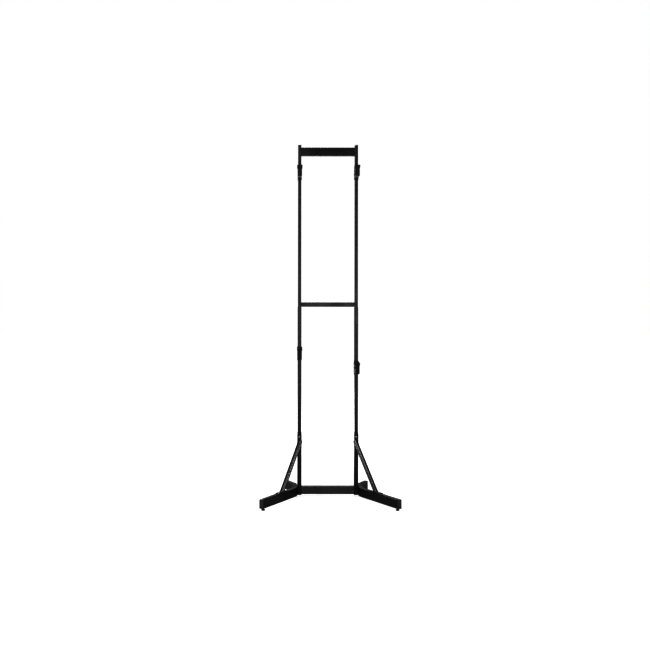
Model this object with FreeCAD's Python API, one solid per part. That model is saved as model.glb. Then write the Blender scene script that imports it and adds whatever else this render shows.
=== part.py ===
import FreeCAD, Part
import math
import os

# Two tier bike rack: a free-standing ladder of nested steel tube on two splayed feet.
# It carries four height-adjustable arms with rubber-lined cradles.
# Millimetres. +X to the right, -Y to the front, +Z up, origin on the floor under the middle.

# Overall frame
UPRIGHT_SPACING = 326.0   # centre to centre of the two uprights
STAND_HEIGHT = 2025.0     # floor to the top of the upright caps
POST_BOTTOM = 14.0
POST_TOP = 372.0
LOWER_TOP = 1092.0        # mouth of the lower upright
SOCKET_OVERLAP = 140.0    # lower upright inside the base post
SPLICE_OVERLAP = 103.0    # upper upright inside the lower one

# Nested upright tubes, from the upper one outwards
UPPER_WIDTH = 18.0
UPPER_DEPTH = 29.0
TUBE_WALL = 1.2
NEST_GAP = 0.3
TUBE_RADIUS = 3.0
LOWER_WIDTH = UPPER_WIDTH + 2 * (TUBE_WALL + NEST_GAP)
LOWER_DEPTH = UPPER_DEPTH + 2 * (TUBE_WALL + NEST_GAP)
POST_WIDTH = LOWER_WIDTH + 2 * (TUBE_WALL + NEST_GAP)
POST_DEPTH = LOWER_DEPTH + 2 * (TUBE_WALL + NEST_GAP)

# Feet: bent in plan, one beside the outer face of each base post
FOOT_WIDTH = 25.0
FOOT_HEIGHT = 50.0
FOOT_WALL = 2.0
FOOT_LIFT = 12.0          # underside of the foot above the floor
FOOT_BEND_RADIUS = 90.0
FRONT_BEND = 42.0         # corner of the bend, ahead of the upright's centre
REAR_BEND = 78.0
FRONT_LEG = 384.5
REAR_LEG = 102.0
FRONT_SPLAY = 28.4        # degrees outward from straight ahead
REAR_SPLAY = 26.5
CAP_FLANGE = 3.0
CAP_PLUG = 10.0
CAP_GAP = 0.2

# Levelling glides under the four foot ends
GLIDE_INSET = 19.0
GLIDE_PAD_RADIUS = 10.0
GLIDE_PAD_HEIGHT = 7.0
GLIDE_STUD_LENGTH = 36.0

# Base crossbar between the posts, with an angle bracket behind each end
BASE_BAR_HEIGHT = 46.0
BASE_BAR_DEPTH = 25.0
BASE_BAR_BOTTOM = 18.5
BASE_BAR_WALL = 2.0
BRACKET_WALL = 3.0
BRACKET_HEIGHT = 38.0
BRACKET_REACH = 33.0
BASE_BOLT_INSET = 9.5
BASE_BOLT_PITCH = 20.0

# Bolts that hold the feet to the posts
FOOT_BOLT_PITCH = 20.0

# Braces from the posts down to the front legs
BRACE_RADIUS = 12.5
BRACE_WALL = 1.5
BRACE_TOP = 310.0         # where the brace's axis meets the plate on the post
BRACE_REACH = 155.0       # along the front leg, from its bend to the brace's axis
BRACE_PLATE = 3.0
BRACE_TOP_PLATE_HEIGHT = 79.0
BRACE_FOOT_PLATE_LENGTH = 79.0
BRACE_BOLT_RISE = 38.0    # bolt above the axis point on the upper plate
BRACE_BOLT_AHEAD = 36.0   # bolt ahead of the axis point on the foot plate
BRACE_PLATE_TAIL = 26.0   # both plates start this far behind the axis point

# Mid crossbar just above the mouth of the lower uprights
MID_BAR_HEIGHT = 25.0
MID_BAR_DEPTH = 16.0
MID_BAR_WALL = 1.5
MID_BAR_RISE = 2.5        # its underside above the mouth
MID_PLATE = 3.0
MID_SCREW_PITCH = 13.0
MID_SCREW_GAP = 0.75      # screw heads behind the bar

# Header plate between the tops of the uprights, a pan of folded sheet
HEADER_DROP = 16.0        # its top edge below the top of the stand
HEADER_HEIGHT = 48.0
HEADER_DEPTH = 22.0
HEADER_SHEET = 2.0
HEADER_SCREW_PITCH = 24.0

# Screws through the nested tubes
SPLICE_SCREW_DROPS = (27.0, 72.0)   # below the mouth of the lower upright

# Threads: shank radius, head radius, head height, nut across flats, nut height
M8 = (4.0, 7.0, 4.4, 13.0, 6.5)
M6 = (3.0, 5.25, 3.3, 10.0, 5.0)
M5 = (2.5, 4.75, 2.75, 8.0, 4.0)
HOLE_GAP = 0.3
THREAD_GAP = 0.06
INSERT_WALL = 1.0
BOLT_END = 1.5            # thread that stands past its nut

# Arm carriers: a steel sleeve that slides on the upright and a round arm
SLEEVE_GAP = 0.4
SLEEVE_WALL = 2.0
SLEEVE_RADIUS = 3.0
SLEEVE_HEIGHT = 78.0
SLEEVE_DROP = 60.0        # bottom of the sleeve below the groove of the cradle
ARM_RADIUS = 8.0
ARM_LENGTH = 95.0
ARM_DROP = 38.0           # axis of the arm below the groove of the cradle
ARM_WASHER_RADIUS = 11.0
ARM_WASHER = 2.5
ARM_SCREW_DEPTH = 20.0

# Clamp screw behind each sleeve
BOSS_RADIUS = 8.0
BOSS_LENGTH = 9.0
TIP_RADIUS = 3.7
TIP_LENGTH = 4.0
TIP_GAP = 0.3
KNOB_STANDOFF = 3.5
KNOB_HUB_LENGTH = 3.0
KNOB_HUB_RADIUS = 7.0
KNOB_RADIUS = 12.0
KNOB_LENGTH = 14.0
KNOB_LOBES = 5
KNOB_FLUTE_RADIUS = 3.5

# Cradle: a moulded block that turns on the arm, under a rubber boot with the groove
CRADLE_GAP = 2.0          # behind the block, to the sleeve
CRADLE_END_GAP = 0.3
BLOCK_WIDTH = 24.0
ARM_FIT = 0.06
BLOCK_EDGE = 2.0
BLOCK_CORNER = 4.0        # along the block's lower edges
GROOVE_RADIUS = 26.0
GROOVE_INSET = 33.0       # centre of the groove behind the end of the arm
LIP_RISE = 13.0           # front lip above the bottom of the groove
REAR_RISE = 17.0
BOOT_WALL = 2.5
BOOT_BED = 4.0            # rubber under the groove
BOOT_SKIRT = 2.0          # lower edge of the boot below the groove
BOOT_GAP = 0.2
BOOT_EDGE = 3.0
SHOULDER_DROP = 24.0      # where the block's sloping back ends, below the groove
RECESS_DEPTH = 5.0
RECESS_INSET = 10.0
RECESS_TOP = 9.5
RECESS_HEIGHT = 13.0
RECESS_RADIUS = 4.0

# How the four arms are set: groove bottoms below the top of their upright
UPPER_LEFT_DROP = 141.0
UPPER_RIGHT_DROP = 141.0
LOWER_LEFT_DROP = 244.0
LOWER_RIGHT_DROP = 327.0

# Derived places
HEADER_TOP = STAND_HEIGHT - HEADER_DROP
GROOVE_CENTRE = ARM_LENGTH - GROOVE_INSET    # ahead of the sleeve
GROOVE_HEIGHTS = {
    "upper_left": STAND_HEIGHT - UPPER_LEFT_DROP,
    "upper_right": STAND_HEIGHT - UPPER_RIGHT_DROP,
    "lower_left": LOWER_TOP - LOWER_LEFT_DROP,
    "lower_right": LOWER_TOP - LOWER_RIGHT_DROP,
}
HALF_SPACING = UPRIGHT_SPACING / 2
FOOT_X = HALF_SPACING + POST_WIDTH / 2 + FOOT_WIDTH / 2
FOOT_TOP = FOOT_LIFT + FOOT_HEIGHT
FOOT_MID = FOOT_LIFT + FOOT_HEIGHT / 2
LOWER_BOTTOM = POST_TOP - SOCKET_OVERLAP
UPPER_BOTTOM = LOWER_TOP - SPLICE_OVERLAP
MID_BAR_BOTTOM = LOWER_TOP + MID_BAR_RISE
FRONT_ANGLE = math.radians(FRONT_SPLAY)
REAR_ANGLE = math.radians(REAR_SPLAY)
FRONT_REACH = (FRONT_BEND + (FRONT_LEG + CAP_FLANGE) * math.cos(FRONT_ANGLE)
               + FOOT_WIDTH / 2 * math.sin(FRONT_ANGLE))
REAR_REACH = (REAR_BEND + (REAR_LEG + CAP_FLANGE) * math.cos(REAR_ANGLE)
              + FOOT_WIDTH / 2 * math.sin(REAR_ANGLE))
UPRIGHT_Y = (FRONT_REACH - REAR_REACH) / 2
POST_FRONT = UPRIGHT_Y - POST_DEPTH / 2
UPPER_FRONT = UPRIGHT_Y - UPPER_DEPTH / 2

X_AXIS = FreeCAD.Vector(1, 0, 0)
Y_AXIS = FreeCAD.Vector(0, 1, 0)
Z_AXIS = FreeCAD.Vector(0, 0, 1)


def point(x, y, z=0.0):
    return FreeCAD.Vector(x, y, z)


def box(x_range, y_range, z_range):
    """Plain block between three pairs of coordinates."""
    size = [high - low for low, high in (x_range, y_range, z_range)]
    return Part.makeBox(*size, point(x_range[0], y_range[0], z_range[0]))


def bar(width, depth, length, radius):
    """Upright bar on the Z axis from z = 0, with its long edges rounded."""
    solid = box((-width / 2, width / 2), (-depth / 2, depth / 2), (0, length))
    long_edges = [e for e in solid.Edges if abs(e.tangentAt(e.FirstParameter).z) > 0.9]
    return solid.makeFillet(radius, long_edges)


def tube(width, depth, length, wall, radius):
    """Rectangular tube on the Z axis from z = 0."""
    outer = bar(width, depth, length, radius)
    return outer.cut(bar(width - 2 * wall, depth - 2 * wall, length, radius - wall / 2))


def rod(radius, length, base, direction):
    return Part.makeCylinder(radius, length, base, direction)


def aim(solid, base, direction):
    """Turn a piece made along +Z to a direction and set its origin on a base point."""
    turned = solid.copy()
    turned.Placement = FreeCAD.Placement(base, FreeCAD.Rotation(Z_AXIS, direction))
    return turned


def lay(solid, base, along, up=Z_AXIS):
    """Turn a piece made along +Z to a level direction, its own +Y going up."""
    side = up.cross(along)
    turned = solid.copy()
    turned.Placement = FreeCAD.Placement(base, FreeCAD.Rotation(side, up, along, "ZYX"))
    return turned


def mirrored(solid):
    """The same piece on the left side."""
    return solid.mirror(point(0, 0, 0), X_AXIS)


def hexagon(across_flats, height):
    """Six-sided prism on the Z axis from z = 0."""
    corner = across_flats / math.sqrt(3)
    turns = [math.radians(60 * step) for step in range(7)]
    corners = [point(corner * math.cos(a), corner * math.sin(a)) for a in turns]
    return Part.Face(Part.makePolygon(corners)).extrude(point(0, 0, height))


def bolt(thread, length):
    """Button-head bolt: head above z = 0, shank below it."""
    shank_radius, head_radius, head_height = thread[:3]
    head = rod(head_radius, head_height, point(0, 0, 0), Z_AXIS)
    rim = [e for e in head.Edges if e.BoundBox.ZMin > head_height * 0.9]
    head = head.makeFillet(head_height * 0.6, rim)
    socket = hexagon(shank_radius * 1.2, head_height * 0.6)
    socket.translate(point(0, 0, head_height * 0.4))
    return head.cut(socket).fuse(rod(shank_radius, length, point(0, 0, -length), Z_AXIS))


def nut(thread):
    """Hexagon nut on the Z axis from z = 0."""
    bore = rod(thread[0] + THREAD_GAP, thread[4], point(0, 0, 0), Z_AXIS)
    return hexagon(thread[3], thread[4]).cut(bore)


def ring_nut(thread):
    """Round threaded insert on the Z axis from z = 0."""
    bore = rod(thread[0] + THREAD_GAP, thread[4], point(0, 0, 0), Z_AXIS)
    return rod(thread[0] + INSERT_WALL, thread[4], point(0, 0, 0), Z_AXIS).cut(bore)


def drill(solid, thread, base, direction, length):
    """Clearance hole for a thread."""
    return solid.cut(rod(thread[0] + HOLE_GAP, length, base, direction))


def export(name, solids):
    """One file for one node; a group of like pieces stays separate solids."""
    shape = solids[0] if len(solids) == 1 else Part.makeCompound(solids)
    shape.exportStep("parts/" + name + ".step")


# Plan geometry of the right foot

def foot_corners():
    """Front end, front bend, rear bend and rear end of the foot's centreline."""
    front_bend = point(FOOT_X, UPRIGHT_Y - FRONT_BEND, FOOT_MID)
    rear_bend = point(FOOT_X, UPRIGHT_Y + REAR_BEND, FOOT_MID)
    return (front_bend + front_direction() * FRONT_LEG, front_bend,
            rear_bend, rear_bend + rear_direction() * REAR_LEG)


def front_direction():
    return point(math.sin(FRONT_ANGLE), -math.cos(FRONT_ANGLE))


def rear_direction():
    return point(math.sin(REAR_ANGLE), math.cos(REAR_ANGLE))


def bend_arc(corner, toward_start, toward_end, angle):
    """Arc that rounds a corner, with its two tangent points."""
    setback = FOOT_BEND_RADIUS * math.tan(angle / 2)
    start = corner + toward_start * setback
    end = corner + toward_end * setback
    inward = (toward_start + toward_end).normalize()
    depth = FOOT_BEND_RADIUS / math.cos(angle / 2) - FOOT_BEND_RADIUS
    return start, end, Part.Arc(start, corner + inward * depth, end).toShape()


def foot_path():
    front_end, front_bend, rear_bend, rear_end = foot_corners()
    a, b, front_arc = bend_arc(front_bend, front_direction(), Y_AXIS, FRONT_ANGLE)
    c, d, rear_arc = bend_arc(rear_bend, -Y_AXIS, rear_direction(), REAR_ANGLE)
    runs = [Part.makeLine(front_end, a), front_arc, Part.makeLine(b, c),
            rear_arc, Part.makeLine(d, rear_end)]
    return Part.Wire(runs)


def foot_sweep(width, height, radius):
    """Rounded bar swept along the foot's centreline."""
    outline = bar(width, height, 1.0, radius)
    section = [f for f in outline.Faces if f.BoundBox.ZMax < 0.5][0].OuterWire
    section = lay(section, foot_corners()[0], -front_direction())
    return foot_path().makePipeShell([section], True, False)


def glide_places():
    """Front and rear points of the right foot where a glide is screwed in."""
    front_end, _, _, rear_end = foot_corners()
    front = front_end - front_direction() * GLIDE_INSET
    rear = rear_end - rear_direction() * GLIDE_INSET
    return {"front": point(front.x, front.y), "rear": point(rear.x, rear.y)}


def foot_bolt_places():
    half = FOOT_BOLT_PITCH / 2
    x = FOOT_X + FOOT_WIDTH / 2
    return [point(x, UPRIGHT_Y, FOOT_MID - half), point(x, UPRIGHT_Y, FOOT_MID + half)]


def brace_foot():
    """Point on top of the foot, under the brace's axis."""
    front_bend = foot_corners()[1]
    place = front_bend + front_direction() * BRACE_REACH
    return point(place.x, place.y, FOOT_TOP)


def brace_head():
    """Point on the front of the base post, behind the brace's axis."""
    return point(HALF_SPACING, POST_FRONT, BRACE_TOP)


def brace_bolt_places():
    """Seats of the two brace bolts, on the upper plate and on the foot plate."""
    top = brace_head() + point(0, -BRACE_PLATE, BRACE_BOLT_RISE)
    low = brace_foot() + front_direction() * BRACE_BOLT_AHEAD + Z_AXIS * BRACE_PLATE
    return top, low


# Frame pieces of the right side

def make_foot():
    solid = foot_sweep(FOOT_WIDTH, FOOT_HEIGHT, TUBE_RADIUS)
    inner = foot_sweep(FOOT_WIDTH - 2 * FOOT_WALL, FOOT_HEIGHT - 2 * FOOT_WALL, TUBE_RADIUS / 2)
    solid = solid.cut(inner)
    for place in foot_bolt_places():
        solid = drill(solid, M8, place, -X_AXIS, FOOT_WIDTH)
    for place in glide_places().values():
        solid = drill(solid, M8, place, Z_AXIS, FOOT_MID)
    low = brace_bolt_places()[1]
    return drill(solid, M6, low, -Z_AXIS, BRACE_PLATE + FOOT_WALL + 1.0)


def make_foot_cap(end, direction):
    """Plastic cap: a flange over the tube's end and a plug inside it."""
    flange = bar(FOOT_WIDTH, FOOT_HEIGHT, CAP_FLANGE, TUBE_RADIUS)
    room = 2 * (FOOT_WALL + CAP_GAP)
    plug = bar(FOOT_WIDTH - room, FOOT_HEIGHT - room, CAP_PLUG, TUBE_RADIUS / 2)
    plug.translate(point(0, 0, -CAP_PLUG))
    return lay(flange.fuse(plug), end, direction)


def make_foot_caps():
    corners = foot_corners()
    return [make_foot_cap(corners[0], front_direction()),
            make_foot_cap(corners[3], rear_direction())]


def make_post():
    solid = tube(POST_WIDTH, POST_DEPTH, POST_TOP - POST_BOTTOM, TUBE_WALL, TUBE_RADIUS)
    solid.translate(point(HALF_SPACING, UPRIGHT_Y, POST_BOTTOM))
    for place in foot_bolt_places():
        outer_face = point(HALF_SPACING + POST_WIDTH / 2, place.y, place.z)
        solid = drill(solid, M8, outer_face, -X_AXIS, POST_WIDTH / 2)
    top = brace_bolt_places()[0]
    return drill(solid, M6, top, Y_AXIS, POST_DEPTH / 2)


def make_lower_upright():
    solid = tube(LOWER_WIDTH, LOWER_DEPTH, LOWER_TOP - LOWER_BOTTOM, TUBE_WALL, TUBE_RADIUS)
    solid.translate(point(HALF_SPACING, UPRIGHT_Y, LOWER_BOTTOM))
    solid = drill(solid, M6, brace_bolt_places()[0], Y_AXIS, POST_DEPTH / 2)
    for place in splice_screw_places():
        solid = drill(solid, M5, place, -Y_AXIS, LOWER_DEPTH / 2)
    return solid


def make_upper_upright():
    top = STAND_HEIGHT - CAP_FLANGE
    solid = tube(UPPER_WIDTH, UPPER_DEPTH, top - UPPER_BOTTOM, TUBE_WALL, TUBE_RADIUS)
    solid.translate(point(HALF_SPACING, UPRIGHT_Y, UPPER_BOTTOM))
    for place in splice_screw_places():
        solid = drill(solid, M5, place, -Y_AXIS, LOWER_DEPTH / 2)
    for place in mid_screw_places() + header_screw_places():
        solid = drill(solid, M5, place, X_AXIS, UPPER_WIDTH / 2)
    return solid


def make_upright_cap():
    flange = bar(UPPER_WIDTH, UPPER_DEPTH, CAP_FLANGE, TUBE_RADIUS)
    room = 2 * (TUBE_WALL + CAP_GAP)
    plug = bar(UPPER_WIDTH - room, UPPER_DEPTH - room, CAP_PLUG, TUBE_RADIUS)
    plug.translate(point(0, 0, -CAP_PLUG))
    cap = flange.fuse(plug)
    cap.translate(point(HALF_SPACING, UPRIGHT_Y, STAND_HEIGHT - CAP_FLANGE))
    return cap


def make_brace():
    """Round tube mitred between a plate on the post and a plate on the foot."""
    head = brace_head() + point(0, -BRACE_PLATE, 0)
    foot = brace_foot() + Z_AXIS * BRACE_PLATE
    axis = (foot - head).normalize()
    spare = 4 * BRACE_RADIUS
    length = head.distanceToPoint(foot) + 2 * spare
    start = head - axis * spare
    pipe = rod(BRACE_RADIUS, length, start, axis)
    pipe = pipe.cut(rod(BRACE_RADIUS - BRACE_WALL, length, start, axis))
    reach = 2 * length
    keep = box((head.x - reach, head.x + reach), (head.y - reach, head.y), (foot.z, foot.z + reach))
    pipe = pipe.common(keep)
    return pipe.fuse([make_brace_head_plate(), make_brace_foot_plate()])


def make_brace_head_plate():
    head = brace_head()
    low = head.z - BRACE_PLATE_TAIL
    half = BRACE_RADIUS
    plate = box((head.x - half, head.x + half), (head.y - BRACE_PLATE, head.y),
                (low, low + BRACE_TOP_PLATE_HEIGHT))
    return drill(plate, M6, brace_bolt_places()[0], Y_AXIS, BRACE_PLATE)


def make_brace_foot_plate():
    plate = box((-BRACE_RADIUS, BRACE_RADIUS), (0, BRACE_PLATE), (0, BRACE_FOOT_PLATE_LENGTH))
    start = brace_foot() - front_direction() * BRACE_PLATE_TAIL
    plate = lay(plate, start, front_direction())
    return drill(plate, M6, brace_bolt_places()[1], -Z_AXIS, BRACE_PLATE)


# Crossbars and header

def base_bolt_places():
    x = HALF_SPACING - POST_WIDTH / 2 - BASE_BOLT_INSET
    middle = BASE_BAR_BOTTOM + BASE_BAR_HEIGHT / 2
    half = BASE_BOLT_PITCH / 2
    return [point(x, POST_FRONT, middle - half), point(x, POST_FRONT, middle + half)]


def make_base_crossbar():
    half = HALF_SPACING - POST_WIDTH / 2
    solid = tube(BASE_BAR_DEPTH, BASE_BAR_HEIGHT, 2 * half, BASE_BAR_WALL, TUBE_RADIUS)
    base = point(-half, POST_FRONT + BASE_BAR_DEPTH / 2, BASE_BAR_BOTTOM + BASE_BAR_HEIGHT / 2)
    solid = lay(solid, base, X_AXIS)
    for place in both_sides(base_bolt_places()):
        solid = drill(solid, M6, place, Y_AXIS, BASE_BAR_DEPTH)
    return solid


def make_base_bracket():
    """Angle welded to the post's inner face, lying on the crossbar's back."""
    inner = HALF_SPACING - POST_WIDTH / 2
    back = POST_FRONT + BASE_BAR_DEPTH
    middle = BASE_BAR_BOTTOM + BASE_BAR_HEIGHT / 2
    heights = (middle - BRACKET_HEIGHT / 2, middle + BRACKET_HEIGHT / 2)
    long_leg = box((inner - BRACKET_REACH, inner), (back, back + BRACKET_WALL), heights)
    short_leg = box((inner - BRACKET_WALL, inner), (back, POST_FRONT + POST_DEPTH), heights)
    solid = long_leg.fuse(short_leg).removeSplitter()
    for place in base_bolt_places():
        solid = drill(solid, M6, place, Y_AXIS, POST_DEPTH)
    return solid


def both_sides(places):
    """The given right-side points and their left-side twins."""
    return places + [point(-p.x, p.y, p.z) for p in places]


def mid_screw_places():
    x = HALF_SPACING - UPPER_WIDTH / 2 - MID_PLATE
    y = UPPER_FRONT + MID_BAR_DEPTH + MID_SCREW_GAP + M5[1]
    middle = MID_BAR_BOTTOM + MID_BAR_HEIGHT / 2
    half = MID_SCREW_PITCH / 2
    return [point(x, y, middle - half), point(x, y, middle + half)]


def make_mid_crossbar():
    """Square-section bar with a welded plate against each upright."""
    inner = HALF_SPACING - UPPER_WIDTH / 2
    half = inner - MID_PLATE
    solid = tube(MID_BAR_DEPTH, MID_BAR_HEIGHT, 2 * half, MID_BAR_WALL, TUBE_RADIUS)
    base = point(-half, UPPER_FRONT + MID_BAR_DEPTH / 2, MID_BAR_BOTTOM + MID_BAR_HEIGHT / 2)
    solid = lay(solid, base, X_AXIS)
    depths = (UPPER_FRONT, UPPER_FRONT + UPPER_DEPTH)
    heights = (MID_BAR_BOTTOM, MID_BAR_BOTTOM + MID_BAR_HEIGHT)
    plate = box((half, inner), depths, heights)
    for place in mid_screw_places():
        plate = drill(plate, M5, place, X_AXIS, MID_PLATE)
    return solid.fuse([plate, mirrored(plate)])


def header_screw_places():
    x = HALF_SPACING - UPPER_WIDTH / 2 - HEADER_SHEET
    middle = HEADER_TOP - HEADER_HEIGHT / 2
    y = UPPER_FRONT + (HEADER_SHEET + HEADER_DEPTH) / 2
    half = HEADER_SCREW_PITCH / 2
    return [point(x, y, middle - half), point(x, y, middle + half)]


def make_header_plate():
    """Blank pan of folded sheet, open at the back."""
    inner = HALF_SPACING - UPPER_WIDTH / 2
    bottom = HEADER_TOP - HEADER_HEIGHT
    solid = box((-inner, inner), (UPPER_FRONT, UPPER_FRONT + HEADER_DEPTH), (bottom, HEADER_TOP))
    front_edges = [e for e in solid.Edges
                   if e.BoundBox.YMax < UPPER_FRONT + 0.1 and e.Length > 2 * HEADER_HEIGHT]
    solid = solid.makeFillet(HEADER_SHEET, front_edges)
    wall = HEADER_SHEET
    pocket = box((-inner + wall, inner - wall), (UPPER_FRONT + wall, UPPER_FRONT + HEADER_DEPTH),
                 (bottom + wall, HEADER_TOP - wall))
    solid = solid.cut(pocket)
    for place in header_screw_places():
        solid = drill(solid, M5, place, X_AXIS, HEADER_SHEET)
        solid = drill(solid, M5, point(-place.x, place.y, place.z), -X_AXIS, HEADER_SHEET)
    return solid


def splice_screw_places():
    y = UPRIGHT_Y + LOWER_DEPTH / 2
    return [point(HALF_SPACING, y, LOWER_TOP - drop) for drop in SPLICE_SCREW_DROPS]


# Fasteners of the right side: lists of bolts and of what they screw into

def base_fasteners():
    grip = BASE_BAR_DEPTH + BRACKET_WALL
    bolts = [aim(bolt(M6, grip + M6[4] + BOLT_END), p, -Y_AXIS) for p in base_bolt_places()]
    nuts = [aim(nut(M6), p + Y_AXIS * grip, Y_AXIS) for p in base_bolt_places()]
    return bolts, nuts


def foot_fasteners():
    grip = FOOT_WIDTH + TUBE_WALL
    bolts = [aim(bolt(M8, grip + M8[4] + BOLT_END), p, X_AXIS) for p in foot_bolt_places()]
    nuts = [aim(nut(M8), p - X_AXIS * grip, -X_AXIS) for p in foot_bolt_places()]
    return bolts, nuts


def brace_fasteners():
    top, low = brace_bolt_places()
    top_grip = BRACE_PLATE + 2 * TUBE_WALL + NEST_GAP
    low_grip = BRACE_PLATE + FOOT_WALL
    bolts = [aim(bolt(M6, top_grip + M6[4] + BOLT_END), top, -Y_AXIS),
             aim(bolt(M6, low_grip + M6[4] + BOLT_END), low, Z_AXIS)]
    nuts = [aim(nut(M6), top + Y_AXIS * top_grip, Y_AXIS),
            aim(nut(M6), low - Z_AXIS * low_grip, -Z_AXIS)]
    return bolts, nuts


def wall_screws(places, outward, grip):
    """Short screws into round inserts behind a wall."""
    screws = [aim(bolt(M5, grip + M5[4] + BOLT_END), p, outward) for p in places]
    inserts = [aim(ring_nut(M5), p - outward * grip, -outward) for p in places]
    return screws, inserts


def glide_nuts():
    seats = [p + Z_AXIS * (FOOT_LIFT + FOOT_WALL) for p in glide_places().values()]
    return [aim(nut(M8), seat, Z_AXIS) for seat in seats]


def make_glide(place):
    """Screw-in foot: a chamfered pad on a threaded stud."""
    pad = rod(GLIDE_PAD_RADIUS, GLIDE_PAD_HEIGHT, place, Z_AXIS)
    rims = [e for e in pad.Edges if e.Length > 6 * GLIDE_PAD_RADIUS * 0.99]
    pad = pad.makeChamfer(GLIDE_PAD_HEIGHT / 4, rims)
    seat = place + Z_AXIS * GLIDE_PAD_HEIGHT
    return pad.fuse(rod(M8[0], GLIDE_STUD_LENGTH - GLIDE_PAD_HEIGHT, seat, Z_AXIS))


# Arm carriers and cradles

def tier_size(name):
    """Width and depth of the upright that an arm slides on."""
    return (UPPER_WIDTH, UPPER_DEPTH) if name.startswith("upper") else (LOWER_WIDTH, LOWER_DEPTH)


def arm_x(name):
    return HALF_SPACING if name.endswith("right") else -HALF_SPACING


def sleeve_front(name):
    return UPRIGHT_Y - tier_size(name)[1] / 2 - SLEEVE_GAP - SLEEVE_WALL


def clamp_height(name):
    return GROOVE_HEIGHTS[name] - SLEEVE_DROP + SLEEVE_HEIGHT / 2


def make_sleeve(name):
    """Steel sleeve round the upright with a threaded boss behind."""
    width, depth = tier_size(name)
    room = 2 * (SLEEVE_GAP + SLEEVE_WALL)
    solid = tube(width + room, depth + room, SLEEVE_HEIGHT, SLEEVE_WALL, SLEEVE_RADIUS)
    solid.translate(point(arm_x(name), UPRIGHT_Y, GROOVE_HEIGHTS[name] - SLEEVE_DROP))
    back = point(arm_x(name), UPRIGHT_Y + depth / 2 + SLEEVE_GAP, clamp_height(name))
    boss = rod(BOSS_RADIUS, BOSS_LENGTH, back + Y_AXIS * SLEEVE_WALL, Y_AXIS)
    bore = rod(M8[0] + THREAD_GAP, SLEEVE_WALL + BOSS_LENGTH, back, Y_AXIS)
    return solid.fuse(boss).cut(bore)


def arm_root(name):
    return point(arm_x(name), sleeve_front(name), GROOVE_HEIGHTS[name] - ARM_DROP)


def make_arm_rod(name):
    solid = rod(ARM_RADIUS, ARM_LENGTH, arm_root(name), -Y_AXIS)
    end = arm_root(name) - Y_AXIS * ARM_LENGTH
    depth = ARM_SCREW_DEPTH + BOLT_END
    return solid.cut(rod(M8[0] + THREAD_GAP, depth, end, Y_AXIS))


def make_arm_end_screw(name):
    """Washer-faced screw that keeps the cradle on the arm."""
    washer = rod(ARM_WASHER_RADIUS, ARM_WASHER, point(0, 0, 0), Z_AXIS)
    screw = bolt(M8, ARM_SCREW_DEPTH + ARM_WASHER)
    screw.translate(point(0, 0, ARM_WASHER))
    return aim(washer.fuse(screw), arm_root(name) - Y_AXIS * ARM_LENGTH, -Y_AXIS)


def side_profile(name, corners, width):
    """Closed side view of a cradle piece, in mm ahead of the sleeve and above the
    groove, drawn with straight runs and one arc through its middle point, then
    extruded across the arm."""
    places = [point(arm_x(name) - width / 2, sleeve_front(name) - u, GROOVE_HEIGHTS[name] + v)
              for u, v in corners]
    arc_start = 3
    edges = []
    step = 0
    while step < len(places):
        if step == arc_start:
            edges.append(Part.Arc(*places[step:step + 3]).toShape())
            step += 2
        else:
            edges.append(Part.makeLine(places[step], places[(step + 1) % len(places)]))
            step += 1
    return Part.Face(Part.Wire(edges)).extrude(point(width, 0, 0))


def groove_point(radius, height):
    """Half width of the groove's circle at a height above its bottom."""
    return math.sqrt(radius ** 2 - (GROOVE_RADIUS - height) ** 2)


def back_slope():
    """Run and rise of the block's sloping back, under the rear crest."""
    top = REAR_RISE - BOOT_BED
    run = GROOVE_CENTRE - GROOVE_RADIUS - 2 * BOOT_WALL - CRADLE_GAP
    return run, top + SHOULDER_DROP


def boot_corners():
    """Side view of the rubber boot, from its front lower edge."""
    front = ARM_LENGTH - CRADLE_END_GAP
    run, rise = back_slope()
    slant = math.hypot(run, rise) / rise
    crest = CRADLE_GAP + run + (REAR_RISE - rise + SHOULDER_DROP) * run / rise - BOOT_WALL * slant
    tail = CRADLE_GAP + (SHOULDER_DROP - BOOT_SKIRT) * run / rise - BOOT_WALL * slant
    half_front = groove_point(GROOVE_RADIUS, LIP_RISE)
    half_rear = groove_point(GROOVE_RADIUS, REAR_RISE)
    return [(tail, -BOOT_SKIRT), (front, -BOOT_SKIRT), (front, LIP_RISE),
            (GROOVE_CENTRE + half_front, LIP_RISE), (GROOVE_CENTRE, 0.0),
            (GROOVE_CENTRE - half_rear, REAR_RISE), (crest, REAR_RISE)]


def block_corners(gap):
    """Side view of the block's saddle, grown by a gap where the boot covers it."""
    front = ARM_LENGTH - CRADLE_END_GAP - BOOT_WALL + gap
    run, rise = back_slope()
    radius = GROOVE_RADIUS + BOOT_BED + BOOT_GAP - gap
    lip = LIP_RISE - BOOT_BED - BOOT_GAP + gap
    crest = REAR_RISE - BOOT_BED - BOOT_GAP + gap
    crest_run = CRADLE_GAP + (crest + SHOULDER_DROP) * run / rise - gap
    return [(CRADLE_GAP, -ARM_DROP), (front, -ARM_DROP), (front, lip),
            (GROOVE_CENTRE + groove_point(radius, lip), lip), (GROOVE_CENTRE, GROOVE_RADIUS - radius),
            (GROOVE_CENTRE - groove_point(radius, crest), crest), (crest_run, crest),
            (CRADLE_GAP, -SHOULDER_DROP + gap)]


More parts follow.
